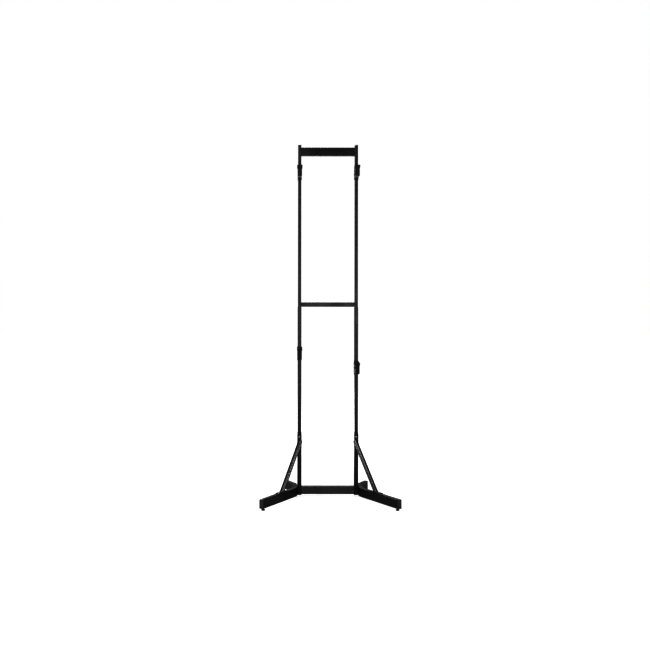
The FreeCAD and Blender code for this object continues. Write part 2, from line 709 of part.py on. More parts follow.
def make_cradle_block(name):
    """Moulded block with a bore for the arm and a saddle for the boot."""
    saddle = side_profile(name, block_corners(0.0), BLOCK_WIDTH)
    start = arm_root(name) - Y_AXIS * CRADLE_GAP
    length = ARM_LENGTH - CRADLE_END_GAP - CRADLE_GAP
    half = BLOCK_WIDTH / 2
    barrel = lay(bar(BLOCK_WIDTH, BLOCK_WIDTH, length, BLOCK_CORNER), start, -Y_AXIS)
    front = sleeve_front(name) - ARM_LENGTH + CRADLE_END_GAP
    groove = GROOVE_HEIGHTS[name]
    nose = box((arm_x(name) - half, arm_x(name) + half), (front, front + BOOT_WALL),
               (groove - ARM_DROP, groove - BOOT_SKIRT - BOOT_GAP))
    solid = saddle.fuse([barrel, nose]).removeSplitter()
    rim = [e for e in solid.Edges if e.BoundBox.YMax < front + 0.1]
    solid = solid.makeFillet(BLOCK_EDGE, rim)
    for side in (-1, 1):
        solid = solid.cut(recess(name, side))
    return solid.cut(rod(ARM_RADIUS + ARM_FIT, length, start, -Y_AXIS))


def recess(name, side):
    """Shallow moulded pocket in one side of the block."""
    run, rise = back_slope()
    rear = CRADLE_GAP + (SHOULDER_DROP - RECESS_TOP) * run / rise + RECESS_INSET / 2
    length = ARM_LENGTH - RECESS_INSET - rear
    pocket = bar(length, RECESS_HEIGHT, RECESS_DEPTH, RECESS_RADIUS)
    middle = point(arm_x(name) + side * BLOCK_WIDTH / 2, sleeve_front(name) - rear - length / 2,
                   GROOVE_HEIGHTS[name] - RECESS_TOP - RECESS_HEIGHT / 2)
    return lay(pocket, middle, X_AXIS * -side)


def make_cradle_boot(name):
    """Rubber boot pulled over the saddle, with the groove in its top."""
    outer = side_profile(name, boot_corners(), BLOCK_WIDTH + 2 * BOOT_WALL)
    front = sleeve_front(name) - ARM_LENGTH + CRADLE_END_GAP
    level = GROOVE_HEIGHTS[name]
    crests = [e for e in outer.Edges
              if abs(e.BoundBox.YMax - e.BoundBox.YMin) < 0.01 and e.BoundBox.ZMin > level + 1.0
              and e.BoundBox.YMax < front + 1.0]
    outer = outer.makeFillet(BOOT_EDGE, crests)
    return outer.cut(side_profile(name, block_corners(BOOT_GAP), BLOCK_WIDTH + 2 * BOOT_GAP))


def make_clamp_tip(name):
    """Loose plug between the clamp screw and the upright."""
    back = UPRIGHT_Y + tier_size(name)[1] / 2 + TIP_GAP
    return rod(TIP_RADIUS, TIP_LENGTH, point(arm_x(name), back, clamp_height(name)), Y_AXIS)


def make_clamp_screw(name):
    """Threaded stud with a fluted knob."""
    tip_end = TIP_GAP + TIP_LENGTH
    hub_start = SLEEVE_GAP + SLEEVE_WALL + BOSS_LENGTH + KNOB_STANDOFF
    knob_start = hub_start + KNOB_HUB_LENGTH
    stud = rod(M8[0], knob_start - tip_end, point(0, 0, tip_end), Z_AXIS)
    hub = rod(KNOB_HUB_RADIUS, KNOB_HUB_LENGTH, point(0, 0, hub_start), Z_AXIS)
    knob = rod(KNOB_RADIUS, KNOB_LENGTH, point(0, 0, knob_start), Z_AXIS)
    knob = knob.makeFillet(BLOCK_EDGE, [e for e in knob.Edges if e.BoundBox.ZLength < 0.01])
    ring = KNOB_RADIUS + KNOB_FLUTE_RADIUS * 0.55
    for lobe in range(KNOB_LOBES):
        turn = math.radians(360 / KNOB_LOBES * (lobe + 0.5))
        foot = point(ring * math.cos(turn), ring * math.sin(turn), knob_start)
        knob = knob.cut(rod(KNOB_FLUTE_RADIUS, KNOB_LENGTH, foot, Z_AXIS))
    base = point(arm_x(name), UPRIGHT_Y + tier_size(name)[1] / 2, clamp_height(name))
    return aim(stud.fuse([hub, knob]), base, Y_AXIS)


# Assembly

def export_pair(name, solid):
    """A right-hand piece and its left-hand twin, one node each."""
    export("right_" + name, [solid])
    export("left_" + name, [mirrored(solid)])


def export_group(name, solids):
    """Right-hand pieces and their left-hand twins in one node."""
    export(name, solids + [mirrored(solid) for solid in solids])


def export_frame():
    export_pair("base_post", make_post())
    export_pair("foot", make_foot())
    export_pair("lower_upright", make_lower_upright())
    export_pair("upper_upright", make_upper_upright())
    export_pair("brace", make_brace())
    export_group("foot_end_caps", make_foot_caps())
    export_group("upright_caps", [make_upright_cap()])
    export("base_crossbar", [make_base_crossbar()])
    export_group("base_corner_brackets", [make_base_bracket()])
    export("mid_crossbar", [make_mid_crossbar()])
    export("header_plate", [make_header_plate()])


def export_fasteners():
    bolts, nuts = base_fasteners()
    export_group("base_crossbar_bolts", bolts)
    export_group("base_crossbar_nuts", nuts)
    bolts, nuts = foot_fasteners()
    export_group("foot_bolts", bolts)
    export_group("foot_weld_nuts", nuts)
    bolts, nuts = brace_fasteners()
    export_group("brace_bolts", bolts)
    export_group("brace_weld_nuts", nuts)
    mid_screws, mid_inserts = wall_screws(mid_screw_places(), -X_AXIS, MID_PLATE + TUBE_WALL)
    head_screws, head_inserts = wall_screws(header_screw_places(), -X_AXIS,
                                            HEADER_SHEET + TUBE_WALL)
    splice_screws, splice_inserts = wall_screws(splice_screw_places(), Y_AXIS,
                                                2 * TUBE_WALL + NEST_GAP)
    export_group("mid_crossbar_screws", mid_screws)
    export_group("header_screws", head_screws)
    export_group("splice_screws", splice_screws)
    export_group("thread_inserts", mid_inserts + head_inserts + splice_inserts)
    export_group("glide_weld_nuts", glide_nuts())


def export_glides():
    for end, place in glide_places().items():
        glide = make_glide(place)
        export(end + "_right_glide", [glide])
        export(end + "_left_glide", [mirrored(glide)])


def export_arm(name):
    export(name + "_sleeve", [make_sleeve(name)])
    export(name + "_arm_rod", [make_arm_rod(name)])
    export(name + "_arm_end_screw", [make_arm_end_screw(name)])
    export(name + "_cradle_block", [make_cradle_block(name)])
    export(name + "_cradle_boot", [make_cradle_boot(name)])
    export(name + "_clamp_tip", [make_clamp_tip(name)])
    export(name + "_clamp_screw", [make_clamp_screw(name)])


os.makedirs("parts", exist_ok=True)
export_frame()
export_fasteners()
export_glides()
for arm_name in GROOVE_HEIGHTS:
    export_arm(arm_name)
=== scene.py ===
import math

import bmesh
import bpy
import numpy as np
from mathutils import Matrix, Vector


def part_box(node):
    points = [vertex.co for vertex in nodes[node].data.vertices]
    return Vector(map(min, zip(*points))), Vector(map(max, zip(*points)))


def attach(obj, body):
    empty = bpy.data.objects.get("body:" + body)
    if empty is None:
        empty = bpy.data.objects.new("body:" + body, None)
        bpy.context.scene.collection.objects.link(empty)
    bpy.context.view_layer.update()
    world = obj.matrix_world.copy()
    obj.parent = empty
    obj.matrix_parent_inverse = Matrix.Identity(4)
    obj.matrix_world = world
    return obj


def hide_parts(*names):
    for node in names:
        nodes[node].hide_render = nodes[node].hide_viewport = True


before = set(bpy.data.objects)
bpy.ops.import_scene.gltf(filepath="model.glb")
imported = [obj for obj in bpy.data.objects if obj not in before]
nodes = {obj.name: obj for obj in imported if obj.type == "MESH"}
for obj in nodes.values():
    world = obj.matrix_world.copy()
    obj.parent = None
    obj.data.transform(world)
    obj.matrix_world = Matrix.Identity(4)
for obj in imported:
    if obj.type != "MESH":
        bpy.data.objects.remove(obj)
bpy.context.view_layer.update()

MM = 0.001

# Camera. It stands a little left of the rack at chest height, level and square to it.
# The lens is shifted, and not tilted, because the uprights stay parallel in the picture.
PICTURE_PIXELS = 650
FOCAL_PIXELS = 955
AXIS_COLUMN = 289.65
HORIZON_ROW = 302.8
CAMERA_DISTANCE = 5.5
CAMERA_LEFT = 0.220
CAMERA_HEIGHT = 1.117
CAMERA_ROLL = -0.06
SENSOR = 36

post_low, post_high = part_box("right_base_post")
upright_x = (post_low.x + post_high.x) / 2
upright_y = (post_low.y + post_high.y) / 2
lens = bpy.data.cameras.new("camera")
lens.sensor_width = SENSOR
lens.lens = SENSOR * FOCAL_PIXELS / PICTURE_PIXELS
lens.shift_x = 0.5 - AXIS_COLUMN / PICTURE_PIXELS
lens.shift_y = HORIZON_ROW / PICTURE_PIXELS - 0.5
camera = bpy.data.objects.new("camera", lens)
camera.location = (-CAMERA_LEFT, upright_y - CAMERA_DISTANCE, CAMERA_HEIGHT)
camera.rotation_euler = (math.radians(90), math.radians(CAMERA_ROLL), 0)
bpy.context.scene.collection.objects.link(camera)
bpy.context.scene.camera = camera


# Floor. A seamless white studio floor, matt, that runs well past the picture.
# It is part of the stage. It carries the rack's soft shadow, and its glow is painted light.
FLOOR_REACH = 30.0
GLOW_NEAR = 0.82
GLOW_FAR = 0.98
GLOW_START, GLOW_END = 0.8, 2.5
SPILL = 4.5
SPILL_START, SPILL_FULL, SPILL_FADE, SPILL_END = 0.8, 2.0, 7.0, 10.0
LANE_EDGE, LANE_CLEAR = -0.97, -0.8


def add(tree, kind, inputs=None, **settings):
    """A shader node with its settings: an input given as a socket is linked, and any
    other value is set on the input itself."""
    made = tree.nodes.new("ShaderNode" + kind)
    for key, value in settings.items():
        setattr(made, key, value)
    for key, value in (inputs or {}).items():
        if isinstance(value, bpy.types.NodeSocket):
            tree.links.new(value, made.inputs[key])
        else:
            made.inputs[key].default_value = value
    return made


def ramp(tree, factor, stops):
    """A colour ramp from (place, grey or colour) stops."""
    made = add(tree, "ValToRGB", {"Fac": factor})
    marks = made.color_ramp.elements
    while len(marks) < len(stops):
        marks.new(0.5)
    for mark, (place, colour) in zip(marks, stops):
        mark.position = place
        mark.color = (*colour, 1) if hasattr(colour, "__len__") else (colour, colour, colour, 1)
    return made.outputs["Color"]


def new_material(name, fixed):
    """A material with its constant shader inputs set, its tree and its shader node."""
    made = bpy.data.materials.new(name)
    made.use_nodes = True
    shader = made.node_tree.nodes["Principled BSDF"]
    for key, value in fixed.items():
        shader.inputs[key].default_value = value
    return made, made.node_tree, shader


def studio_floor():
    """White paper with a barely visible mottle and a painted glow. To the camera the painted glow
    keeps the shadow on the paper faint, and it grows away from the rack, where no lamp reaches.
    Other rays see a stronger ring of painted glow around the rack, apart from a lane in front. It
    lights the tubes and shows in them as a painted reflection."""
    made, tree, shader = new_material("studio_floor", {
        "Roughness": 0.9, "Specular IOR Level": 0.1, "Emission Color": (1, 1, 1, 1)})
    place = add(tree, "TexCoord").outputs["Object"]
    mottle = add(tree, "TexNoise", {"Vector": place, "Scale": 1.5, "Detail": 3}).outputs[0]
    tree.links.new(ramp(tree, mottle, [(0.3, 0.28), (0.7, 0.32)]), shader.inputs["Base Color"])
    # Painted light: the emission is a painted glow, at one level for the camera and as a ring of
    # painted spill for all other rays.
    ray = add(tree, "LightPath").outputs["Is Camera Ray"]
    away = add(tree, "VectorMath", {0: place}, operation="LENGTH").outputs["Value"]
    level = add(tree, "MapRange", {"Value": away, "From Min": GLOW_START, "From Max": GLOW_END,
                                   "To Min": GLOW_NEAR, "To Max": GLOW_FAR}).outputs["Result"]
    inner = add(tree, "MapRange", {"Value": away, "From Min": SPILL_START,
                                   "From Max": SPILL_FULL, "To Min": 0.0,
                                   "To Max": SPILL}).outputs["Result"]
    heading = add(tree, "VectorMath", {0: place}, operation="NORMALIZE").outputs["Vector"]
    front = add(tree, "SeparateXYZ", {0: heading}).outputs["Y"]
    lane = add(tree, "MapRange", {"Value": front, "From Min": LANE_EDGE,
                                  "From Max": LANE_CLEAR}).outputs["Result"]
    outer = add(tree, "MapRange", {"Value": away, "From Min": SPILL_FADE,
                                   "From Max": SPILL_END, "To Min": 1.0,
                                   "To Max": 0.0}).outputs["Result"]
    beside = add(tree, "Math", {0: inner, 1: lane}, operation="MULTIPLY").outputs[0]
    spill = add(tree, "Math", {0: beside, 1: outer}, operation="MULTIPLY").outputs[0]
    glow = add(tree, "MapRange", {"Value": ray, "To Min": spill, "To Max": level})
    tree.links.new(glow.outputs["Result"], shader.inputs["Emission Strength"])
    return made


MERGE_DISTANCE = 0.002 * MM
SHARP_ANGLE = math.radians(38)


def place_mesh(name, points, faces, material):
    """A mesh object at the origin, its doubles merged and its faces turned outwards."""
    mesh = bpy.data.meshes.new(name)
    mesh.from_pydata(points, [], faces)
    shell = bmesh.new()
    shell.from_mesh(mesh)
    bmesh.ops.remove_doubles(shell, verts=shell.verts, dist=MERGE_DISTANCE)
    bmesh.ops.recalc_face_normals(shell, faces=shell.faces)
    shell.to_mesh(mesh)
    shell.free()
    mesh.polygons.foreach_set("use_smooth", [True] * len(mesh.polygons))
    mesh.set_sharp_from_angle(angle=SHARP_ANGLE)
    mesh.materials.append(material)
    made = bpy.data.objects.new(name, mesh)
    bpy.context.scene.collection.objects.link(made)
    return made


corners = [(x, y, 0) for x, y in ((-1, -1), (1, -1), (1, 1), (-1, 1))]
floor_points = (np.array(corners) * FLOOR_REACH).tolist()
floor = place_mesh("floor", floor_points, [(0, 1, 2, 3)], studio_floor())


# Light. A dim surround, a low panel behind the camera and a soft box above the rack.
# Small boxes at the sides draw the thin streaks on the brace tubes and the cap edges.
# Panels far left and right and a high box at the back show the tubes' other sides.
SURROUND = 0.15
lights = [
    ("front_panel", (0.3, -7.2, 1.0), (0.0, 0.0, 1.0), (1.6, 1.0), 82),
    ("sky_box", (0.0, -2.6, 3.9), (0.0, 0.0, 0.5), (2.4, 1.2), 75),
    ("side_box", (2.45, -1.85, 2.0), (-0.2, 0.0, 0.2), (0.4, 0.4), 42),
    ("key_box", (-0.8, -2.1, 2.75), (0.2, 0.0, 0.2), (0.4, 0.4), 30),
    ("edge_box", (-2.87, -1.42, 2.3), (0.0, 0.0, 0.2), (0.6, 0.6), 130),
    ("left_panel", (-6.8, 0.0, 1.1), (0.0, 0.0, 1.0), (2.0, 1.6), 100),
    ("right_panel", (6.8, 0.0, 1.1), (0.0, 0.0, 1.0), (2.0, 1.6), 100),
    ("back_box", (-0.6, 4.0, 3.6), (0.0, 0.1, 0.8), (2.4, 1.4), 140),
]


def aim_at(lamp, target):
    """Turns a lamp so that its beam runs to a point."""
    direction = np.array(target, float) - np.array(lamp.location, float)
    heading = math.atan2(direction[0], -direction[1])
    drop = math.atan2(-direction[2], math.hypot(direction[0], direction[1]))
    lamp.rotation_euler = (math.radians(90) - drop, 0, heading + math.pi)
    return lamp


for name, place, target, size, power in lights:
    box_light = bpy.data.lights.new(name, "AREA")
    box_light.shape = "RECTANGLE"
    box_light.size, box_light.size_y = size
    box_light.energy = power
    lamp = bpy.data.objects.new(name, box_light)
    lamp.location = place
    bpy.context.scene.collection.objects.link(aim_at(lamp, target))
world = bpy.data.worlds.new("studio")
world.use_nodes = True
surround = world.node_tree.nodes["Background"]
surround.inputs["Color"].default_value = (1, 1, 1, 1)
surround.inputs["Strength"].default_value = SURROUND
seen = add(world.node_tree, "Background", {"Color": (1, 1, 1, 1), "Strength": 1.0})
ray = add(world.node_tree, "LightPath").outputs["Is Camera Ray"]
blend = add(world.node_tree, "MixShader", {0: ray, 1: surround.outputs[0], 2: seen.outputs[0]})
world.node_tree.links.new(blend.outputs[0], world.node_tree.nodes["World Output"].inputs["Surface"])
bpy.context.scene.world = world
bpy.context.scene.view_settings.view_transform = "Standard"
bpy.context.scene.view_settings.gamma = 0.6


# Frame. Rectangular steel tube, cut, bent, drilled, powder coated and bolted together.
# The satin black has a fine orange peel, and the edges are rubbed a little lighter.
# The base crossbar came out glossier than the tubes, and the round braces smoother.
EDGE_RADIUS = 0.9 * MM
RUBBED_GREY = (0.16, 0.16, 0.165, 1)
DUST_GREY = (0.3, 0.29, 0.28, 1)
DUST_SHARE = 0.16


def rounded_normal(tree, radius):
    """Normals rounded near edges, and how near an edge a point is, from 0 to 1."""
    rounded = add(tree, "Bevel", {"Radius": radius}, samples=4).outputs["Normal"]
    flat = add(tree, "NewGeometry").outputs["Normal"]
    turned = add(tree, "VectorMath", {0: rounded, 1: flat}, operation="DOT_PRODUCT")
    edge = add(tree, "MapRange", {"Value": turned.outputs["Value"], "From Min": 0.995,
                                  "From Max": 0.86, "To Min": 0.0, "To Max": 1.0})
    return rounded, edge.outputs["Result"]


def powder_coat(name, tone, gloss, shine=0.24):
    """Black powder coat: peel in the bump, a slow drift of tone and gloss, settled dust
    on faces that look up, and a broken lighter line along the edges."""
    made, tree, shader = new_material(name, {"Specular IOR Level": shine})
    place = add(tree, "TexCoord").outputs["Object"]
    rounded, edge = rounded_normal(tree, EDGE_RADIUS)
    peel = add(tree, "TexNoise", {"Vector": place, "Scale": 950.0, "Detail": 2.0}).outputs[0]
    drift = add(tree, "TexNoise", {"Vector": place, "Scale": 11.0, "Detail": 5.0}).outputs[0]
    chips = add(tree, "TexNoise", {"Vector": place, "Scale": 260.0, "Detail": 4.0}).outputs[0]
    speck = add(tree, "TexVoronoi", {"Vector": place, "Scale": 1300.0}).outputs["Distance"]
    shade = ramp(tree, drift, [(0.3, tone * 0.75), (0.7, tone * 1.3)])
    worn = ramp(tree, chips, [(0.42, 0.0), (0.68, 0.5)])
    rub = add(tree, "Math", {0: edge, 1: worn}, operation="MULTIPLY").outputs[0]
    rubbed = add(tree, "MixRGB", {"Fac": rub, "Color1": shade, "Color2": RUBBED_GREY})
    up = add(tree, "SeparateXYZ", {0: add(tree, "NewGeometry").outputs["Normal"]}).outputs["Z"]
    settled = add(tree, "MapRange", {"Value": up, "From Min": 0.7, "From Max": 1.0,
                                     "To Min": 0.0, "To Max": DUST_SHARE}).outputs["Result"]
    dusty = add(tree, "Math", {0: settled, 1: drift}, operation="MULTIPLY").outputs[0]
    colour = add(tree, "MixRGB", {"Fac": dusty, "Color1": rubbed.outputs[0],
                                  "Color2": DUST_GREY})
    tree.links.new(colour.outputs[0], shader.inputs["Base Color"])
    sheen = add(tree, "MapRange", {"Value": drift, "From Min": 0.3, "From Max": 0.7,
                                   "To Min": gloss - 0.05, "To Max": gloss + 0.07})
    tree.links.new(sheen.outputs["Result"], shader.inputs["Roughness"])
    grain = add(tree, "MixRGB", {"Fac": 0.25, "Color1": peel, "Color2": speck})
    bump = add(tree, "Bump", {"Strength": 0.22, "Distance": 0.12 * MM,
                              "Height": grain.outputs[0], "Normal": rounded})
    tree.links.new(bump.outputs["Normal"], shader.inputs["Normal"])
    return made


def dress(material, *names):
    """Gives CAD nodes a finish."""
    for name in names:
        for holder in nodes[name].material_slots:
            holder.material = material


SIDES = ("left", "right")
MIRRORED = (("right", 1), ("left", -1))
ARMS = ("upper_left", "upper_right", "lower_left", "lower_right")
frame_coat = powder_coat("frame_coat", 0.006, 0.30)
for side in SIDES:
    dress(frame_coat, side + "_base_post", side + "_foot", side + "_lower_upright",
          side + "_upper_upright")
dress(frame_coat, "base_corner_brackets", "mid_crossbar")
crossbar_coat = powder_coat("crossbar_coat", 0.007, 0.28, 0.7)
dress(crossbar_coat, "base_crossbar")
brace_coat = powder_coat("brace_coat", 0.006, 0.18, 0.3)
dress(brace_coat, "left_brace", "right_brace")


# Header. A pan of folded sheet screwed between the tops of the uprights, left bare.
# It has the same coat as the tubes, a shade smoother and duller, as it is sprayed flat.
header_coat = powder_coat("header_coat", 0.006, 0.27, 0.17)
dress(header_coat, "header_plate")


# Arms. Each is a steel sleeve round the upright with a round rod welded to its front.
# They are coated apart from the frame, and the sliding has left them a little duller.
arm_coat = powder_coat("arm_coat", 0.007, 0.34)
for arm in ARMS:
    dress(arm_coat, arm + "_sleeve", arm + "_arm_rod")


# Weld beads. Hand-laid fillets of small overlapping ripples, coated over with the steel.
# They run round the brace tubes, the arm rods, the threaded bosses and the crossbar ends.
BEAD_RADIUS = 1.7 * MM
BEAD_SHARE, RIPPLE_SHARE = 0.9, 0.13
RIPPLE_PITCH = 2.6 * MM
ROWS_PER_RIPPLE = 7
FEWEST_ROWS = 12
BEAD_COLUMNS = 10
BRACE_RADIUS = 12.5 * MM
BRACE_PLATE = 3 * MM
BRACE_TOP = 0.310
BRACE_REACH = 0.155
FRONT_BEND = 42 * MM
REAR_BEND = 78 * MM
FRONT_SPLAY = math.radians(28.4)
REAR_SPLAY = math.radians(26.5)
FOOT_WIDTH = 25 * MM
ARM_RADIUS = 8 * MM
BOSS_LENGTH = 9 * MM
MID_BAR_DEPTH = 16 * MM
MID_PLATE = 3 * MM
BRACKET_WALL = 3 * MM


def ring_skin(name, grid, material, closed_along=True):
    """A mesh over a grid of points, rows along the piece and columns round it. Columns
    join up, and rows either join up too or end in one face each."""
    rows, columns = grid.shape[:2]
    index = np.arange(rows * columns).reshape(rows, columns)
    beside = np.roll(index, -1, axis=1)
    if closed_along:
        ahead, ahead_beside = np.roll(index, -1, axis=0), np.roll(beside, -1, axis=0)
        quads = np.stack([index, ahead, ahead_beside, beside], axis=-1)
        faces = quads.reshape(-1, 4).tolist()
    else:
        quads = np.stack([index[:-1], index[1:], beside[1:], beside[:-1]], axis=-1)
        faces = quads.reshape(-1, 4).tolist() + [index[0].tolist(), index[-1][::-1].tolist()]
    return place_mesh(name, grid.reshape(-1, 3).tolist(), faces, material)


def bead_grid(path, facing):
    """Rippled bead along a closed path: each point of the path carries a circle that lies
    across the path, and its radius swells and sinks as the sine of the length run."""
    ahead = np.roll(path, -1, axis=0) - np.roll(path, 1, axis=0)
    ahead = ahead / np.linalg.norm(ahead, axis=1, keepdims=True)
    steps = np.linalg.norm(np.roll(path, -1, axis=0) - path, axis=1)
    run = np.concatenate([[0], np.cumsum(steps)[:-1]])
    ripples = max(1, round(steps.sum() / RIPPLE_PITCH))
    wave = np.sin(2 * np.pi * ripples * run / steps.sum())
    swell = BEAD_RADIUS * (BEAD_SHARE + RIPPLE_SHARE * wave)
    out = np.cross(ahead, facing)
    out = out / np.linalg.norm(out, axis=1, keepdims=True)
    rise = np.cross(out, ahead)
    turn = np.linspace(0, 2 * np.pi, BEAD_COLUMNS, endpoint=False)
    circle = (np.cos(turn)[None, :, None] * out[:, None, :]
              + np.sin(turn)[None, :, None] * rise[:, None, :])
    return path[:, None, :] + swell[:, None, None] * circle


def ring_path(centre, across, upward, radius, points=96):
    """Points round a circle that is spanned by two directions."""
    turn = np.linspace(0, 2 * np.pi, points, endpoint=False)[:, None]
    return np.array(centre) + radius * (np.cos(turn) * np.array(across)
                                        + np.sin(turn) * np.array(upward))


def mitre_path(start, axis, radius, plane, points=120):
    """Where a round tube meets a plane: points of the tube's circle slid along its axis
    until they lie in the plane, which is given by its normal and offset."""
    normal, offset = plane
    side = np.cross(axis, (0, 0, 1))
    side = side / np.linalg.norm(side)
    circle = ring_path(start, side, np.cross(side, axis), radius, points)
    slide = (offset - circle @ normal) / (axis @ normal)
    return circle + slide[:, None] * axis


def straight_bead(start, end, facing):
    """Rippled bead along a straight line: circles across the line, whose radius swells
    and sinks as the sine of the length run and shrinks in a quarter circle at both ends."""
    start, end = np.array(start, float), np.array(end, float)
    length = np.linalg.norm(end - start)
    rows = max(FEWEST_ROWS, int(length / (RIPPLE_PITCH / ROWS_PER_RIPPLE)))
    run = np.linspace(0, length, rows)
    wave = np.sin(2 * np.pi * run / RIPPLE_PITCH)
    swell = BEAD_RADIUS * (BEAD_SHARE + RIPPLE_SHARE * wave)
    short = np.clip(1 - np.minimum(run, length - run) / BEAD_RADIUS, 0, 0.97)
    swell = swell * np.sqrt(1 - short ** 2)
    ahead = (end - start) / length
    out = np.cross(ahead, np.array(facing, float))
    turn = np.linspace(0, 2 * np.pi, BEAD_COLUMNS, endpoint=False)
    circle = (np.cos(turn)[None, :, None] * out
              + np.sin(turn)[None, :, None] * np.cross(out, ahead))
    line = start + run[:, None] * ahead
    return line[:, None, :] + swell[:, None, None] * circle


def bead(name, body, path, facing):
    """Lays a bead round a closed path, or along a line given by its two ends."""
    straight = len(path) == 2
    grid = straight_bead(*path, facing) if straight else bead_grid(path, np.array(facing, float))
    piece = ring_skin(name, grid, frame_coat, not straight)
    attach(piece, body)


foot_low, foot_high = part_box("right_foot")
foot_x = post_high.x + FOOT_WIDTH / 2
front_heading = np.array([math.sin(FRONT_SPLAY), -math.cos(FRONT_SPLAY), 0])
rear_heading = np.array([math.sin(REAR_SPLAY), math.cos(REAR_SPLAY), 0])
front_bend = np.array([foot_x, upright_y - FRONT_BEND, 0])
rear_bend = np.array([foot_x, upright_y + REAR_BEND, 0])
head = np.array([upright_x, post_low.y - BRACE_PLATE, BRACE_TOP])
foot_seat = front_bend + BRACE_REACH * front_heading
foot_seat[2] = foot_high.z + BRACE_PLATE
brace_axis = (foot_seat - head) / np.linalg.norm(foot_seat - head)
wall_plane = (np.array([0, 1.0, 0]), head[1])
floor_plane = (np.array([0, 0, 1.0]), foot_seat[2])
for side, sign in MIRRORED:
    flip = np.array([sign, 1, 1])
    top_ring = mitre_path(head, brace_axis, BRACE_RADIUS, wall_plane) * flip
    low_ring = mitre_path(head, brace_axis, BRACE_RADIUS, floor_plane) * flip
    bead(side + "_brace_top_weld", "frame", top_ring, (0, 1, 0))
    bead(side + "_brace_foot_weld", "frame", low_ring, (0, 0, 1))
for arm in ARMS:
    rod_low, rod_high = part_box(arm + "_arm_rod")
    sleeve_low, sleeve_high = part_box(arm + "_sleeve")
    rod_x, rod_z = (rod_low.x + rod_high.x) / 2, (rod_low.z + rod_high.z) / 2
    root = ring_path((rod_x, rod_high.y, rod_z), (1, 0, 0), (0, 0, 1), ARM_RADIUS)
    bead(arm + "_rod_weld", arm + "_carrier", root, (0, 1, 0))
    boss_z = (sleeve_low.z + sleeve_high.z) / 2
    boss_root = (rod_x, sleeve_high.y - BOSS_LENGTH, boss_z)
    boss = ring_path(boss_root, (1, 0, 0), (0, 0, 1), ARM_RADIUS)
    bead(arm + "_boss_weld", arm + "_carrier", boss, (0, 1, 0))
bar_low, bar_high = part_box("mid_crossbar")
bar_back = bar_low.y + MID_BAR_DEPTH
angle_low, angle_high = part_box("base_corner_brackets")
crossbar_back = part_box("base_crossbar")[1].y
for side, sign in MIRRORED:
    plate_x = sign * (bar_high.x - MID_PLATE)
    bead(side + "_mid_bar_weld", "frame", ((plate_x, bar_back, bar_low.z + BEAD_RADIUS),
         (plate_x, bar_back, bar_high.z - BEAD_RADIUS)), (0, 1, 0))
    for level, tag in ((angle_low.z, "lower"), (angle_high.z, "upper")):
        bead(side + "_bracket_" + tag + "_weld", "frame", (
            (sign * angle_high.x, crossbar_back + BEAD_RADIUS, level),
            (sign * angle_high.x, angle_high.y - BRACKET_WALL, level)), (0, 0, 1))


# Fasteners. Button-head screws in black zinc, turned heads with a hexagon socket. Those
# of the braces are dull zinc, and those at the ends of the arms are blackened steel.
# Nuts and inserts are plain bright zinc and mostly hidden inside the tubes.
def plated(name, tone, roughness, tint):
    """A thin finish over machined steel: a fine grain in the bump, a blotched tint and
    gloss, and edges a shade brighter."""
    made, tree, shader = new_material(name, {"Metallic": 1.0})
    place = add(tree, "TexCoord").outputs["Object"]
    rounded, edge = rounded_normal(tree, 0.35 * MM)
    blotch = add(tree, "TexNoise", {"Vector": place, "Scale": 140.0, "Detail": 5.0}).outputs[0]
    fine = add(tree, "TexNoise", {"Vector": place, "Scale": 2600.0, "Detail": 2.0}).outputs[0]
    dark = tuple(c * tone * 0.7 for c in tint)
    light = tuple(c * tone * 1.25 for c in tint)
    shade = ramp(tree, blotch, [(0.32, dark), (0.66, light)])
    bright = add(tree, "MixRGB", {"Fac": edge, "Color1": shade, "Color2": (*light, 1)})
    tree.links.new(bright.outputs[0], shader.inputs["Base Color"])
    gloss = add(tree, "MapRange", {"Value": blotch, "From Min": 0.3, "From Max": 0.7,
                                   "To Min": roughness - 0.08, "To Max": roughness + 0.12})
    tree.links.new(gloss.outputs["Result"], shader.inputs["Roughness"])
    bump = add(tree, "Bump", {"Strength": 0.2, "Distance": 0.03 * MM, "Height": fine,
                              "Normal": rounded})
    tree.links.new(bump.outputs["Normal"], shader.inputs["Normal"])
    return made


black_zinc = plated("black_zinc", 0.07, 0.36, (1.0, 1.0, 1.03))
bright_zinc = plated("bright_zinc", 0.72, 0.26, (1.0, 1.0, 0.97))
dull_zinc = plated("dull_zinc", 0.26, 0.42, (1.0, 1.0, 0.98))
black_oxide = plated("black_oxide", 0.02, 0.4, (1.0, 1.0, 1.0))
dress(black_zinc, "base_crossbar_bolts", "foot_bolts", "mid_crossbar_screws",
      "header_screws", "splice_screws")
dress(dull_zinc, "brace_bolts")
dress(bright_zinc, "base_crossbar_nuts", "foot_weld_nuts", "brace_weld_nuts",
      "thread_inserts", "glide_weld_nuts")
for arm in ARMS:
    dress(black_oxide, arm + "_arm_end_screw")


# End caps. Moulded plugs pressed into the open tube ends, with a pillowed face
# and a soft edge that catches the light. Four close the feet and two the uprights.
CAP_FLANGE = 3 * MM
CAP_PLUG = 10 * MM
FRONT_LEG = 384.5 * MM
REAR_LEG = 102 * MM
FOOT_HEIGHT = 50 * MM
FOOT_PLUG_INSET = 2.2 * MM
UPRIGHT_PLUG_INSET = 1.4 * MM
CORNER = 3 * MM
TIGHTEST_CORNER = 0.5 * MM


